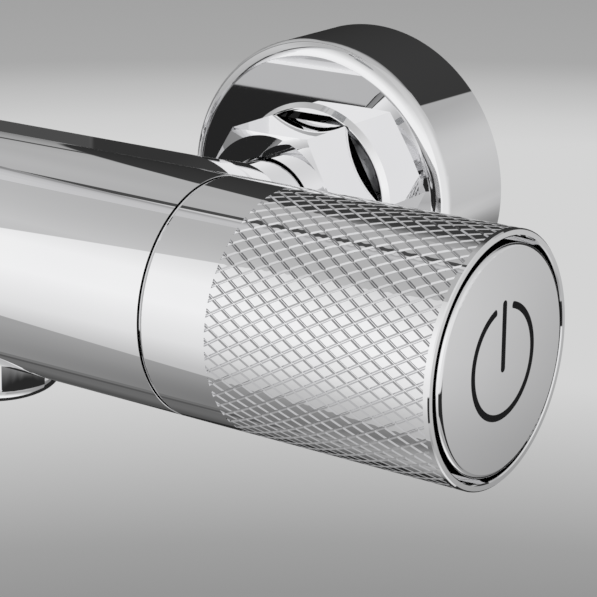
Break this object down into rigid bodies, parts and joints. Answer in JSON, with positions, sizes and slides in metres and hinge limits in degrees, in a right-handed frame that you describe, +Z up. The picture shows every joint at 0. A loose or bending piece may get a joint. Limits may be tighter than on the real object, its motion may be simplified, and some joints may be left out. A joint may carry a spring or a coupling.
{
  "type": "thermostatic shower column",
  "caption": "Chromed thermostatic bar shower mixer with knurled end handles and push button, on wall unions, with telescopic riser, head shower and hand shower on a slider.",
  "frame": {"origin": "on the finished wall, midway between the axes of the two wall unions", "axes": "+X right as a person faces the wall, +Y into the wall, +Z up"},
  "size_m": [0.31, 0.5955, 1.0694],
  "materials": {
    "polished_chrome": "polished",
    "brass": "machined",
    "zinc_steel": "satin",
    "dark_plastic": "matte",
    "red_plastic": "gloss",
    "black_rubber": "matte",
    "grey_plate": "gloss"
  },
  "bodies": {
    "column": {"mixer_body": "polished_chrome", "hot_inlet_tail": "polished_chrome", "cold_inlet_tail": "polished_chrome", "hot_check_valve": "dark_plastic", "cold_check_valve": "dark_plastic", "hot_union_nut": "polished_chrome", "cold_union_nut": "polished_chrome", "hot_sealing_washer": "black_rubber", "cold_sealing_washer": "black_rubber", "hot_wall_union": "polished_chrome", "cold_wall_union": "polished_chrome", "hot_rosette": "polished_chrome", "cold_rosette": "polished_chrome", "hot_cover_seal": "black_rubber", "cold_cover_seal": "black_rubber", "flow_cartridge": "dark_plastic", "flow_cartridge_nut": "brass", "temperature_cartridge": "dark_plastic", "temperature_cartridge_nut": "brass", "riser_nut": "polished_chrome", "riser_seal": "black_rubber", "lower_riser_tube": "polished_chrome", "riser_guide_bush": "dark_plastic", "riser_lock_nut": "polished_chrome", "upper_riser_arm": "polished_chrome", "bracket_arm": "polished_chrome", "bracket_base": "zinc_steel", "bracket_cover": "polished_chrome", "bracket_grub_screw": "zinc_steel", "arm_ball_stud": "polished_chrome"},
    "flow_knob": {"flow_knob_core": "polished_chrome", "flow_knob_grip": "polished_chrome", "flow_spindle": "brass", "button_spring": "zinc_steel"},
    "start_stop": {"start_stop_button": "polished_chrome"},
    "temperature_knob": {"temperature_knob_core": "polished_chrome", "temperature_knob_grip": "polished_chrome", "temperature_spindle": "brass", "temperature_end_cap": "polished_chrome", "safety_button_spring": "zinc_steel"},
    "safety_stop": {"safety_button": "red_plastic"},
    "slider": {"slider_body": "polished_chrome", "slider_pad": "dark_plastic"},
    "slider_lock": {"slider_knob": "polished_chrome"},
    "cradle": {"handset_cradle": "polished_chrome", "cradle_pin": "polished_chrome"},
    "handset": {"handset_shell": "polished_chrome", "handset_spray_plate": "grey_plate"},
    "head": {"head_ball_nut": "polished_chrome", "head_shell": "polished_chrome", "head_seal_ring": "black_rubber", "head_spray_plate": "grey_plate"}
  },
  "joints": [
    {"name": "flow_knob_turn", "type": "hinge", "parent": "column", "child": "flow_knob", "pos_m": [0.1004, -0.0845, 0], "axis": [1, 0, 0], "range_deg": [-90, 90]},
    {"name": "start_stop_press", "type": "slide", "parent": "flow_knob", "child": "start_stop", "axis": [-1, 0, 0], "range_m": [0, 0.003], "stiffness_N_per_m": 600, "springref_m": -0.004, "deforming": ["button_spring"]},
    {"name": "temperature_knob_turn", "type": "hinge", "parent": "column", "child": "temperature_knob", "pos_m": [-0.1004, -0.0845, 0], "axis": [1, 0, 0], "range_deg": [-150, 60]},
    {"name": "safety_button_press", "type": "slide", "parent": "temperature_knob", "child": "safety_stop", "axis": [0, 1, 0], "range_m": [0, 0.002], "stiffness_N_per_m": 400, "springref_m": -0.002, "deforming": ["safety_button_spring"]},
    {"name": "slider_height", "type": "slide", "parent": "column", "child": "slider", "axis": [0, 0, 1], "range_m": [-0.25, 0.12]},
    {"name": "slider_lock_turn", "type": "hinge", "parent": "slider", "child": "slider_lock", "pos_m": [0.0143, -0.0845, 0.43], "axis": [1, 0, 0], "range_deg": [0, 90]},
    {"name": "cradle_tilt", "type": "hinge", "parent": "slider", "child": "cradle", "pos_m": [0, -0.1155, 0.43], "axis": [1, 0, 0], "range_deg": [-20, 15]},
    {"name": "handset_lift", "type": "slide", "parent": "cradle", "child": "handset", "axis": [0, -0.3746, 0.9272], "range_m": [0, 0.06]},
    {"name": "head_tilt", "type": "hinge", "parent": "column", "child": "head", "pos_m": [0, -0.4645, 0.936], "axis": [1, 0, 0], "range_deg": [-12, 12]}
  ]
}
